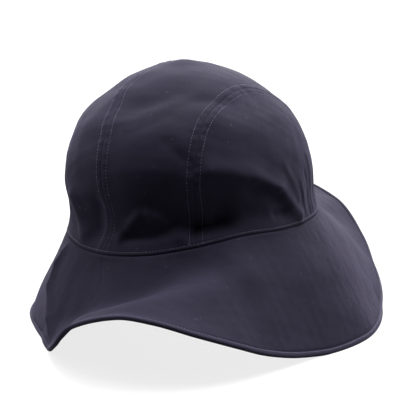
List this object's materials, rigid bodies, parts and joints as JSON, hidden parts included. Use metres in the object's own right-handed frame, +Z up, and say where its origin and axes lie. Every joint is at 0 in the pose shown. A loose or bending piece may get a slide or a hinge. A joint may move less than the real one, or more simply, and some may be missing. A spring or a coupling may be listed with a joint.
{
  "type": "sun hat",
  "caption": "Soft sun hat of dark woven shell cloth with a three-panel crown and a wide drooping brim that ends in a rolled hem.",
  "frame": {"origin": "middle of the underside of the hat's box, on the surface it rests on", "axes": "+Z is up out of the crown's top, -Y is the front of the hat and +X is the wearer's left"},
  "size_m": [0.2544, 0.3648, 0.1806],
  "materials": {
    "shell_cloth": "matt woven shell cloth, dark navy with a purple cast",
    "hem_cloth": "the same cloth, rolled and stitched"
  },
  "bodies": {
    "root": {"crown_centre_panel": "shell_cloth", "crown_left_panel": "shell_cloth", "crown_right_panel": "shell_cloth", "brim": "shell_cloth", "brim_hem": "hem_cloth"}
  },
  "joints": []
}
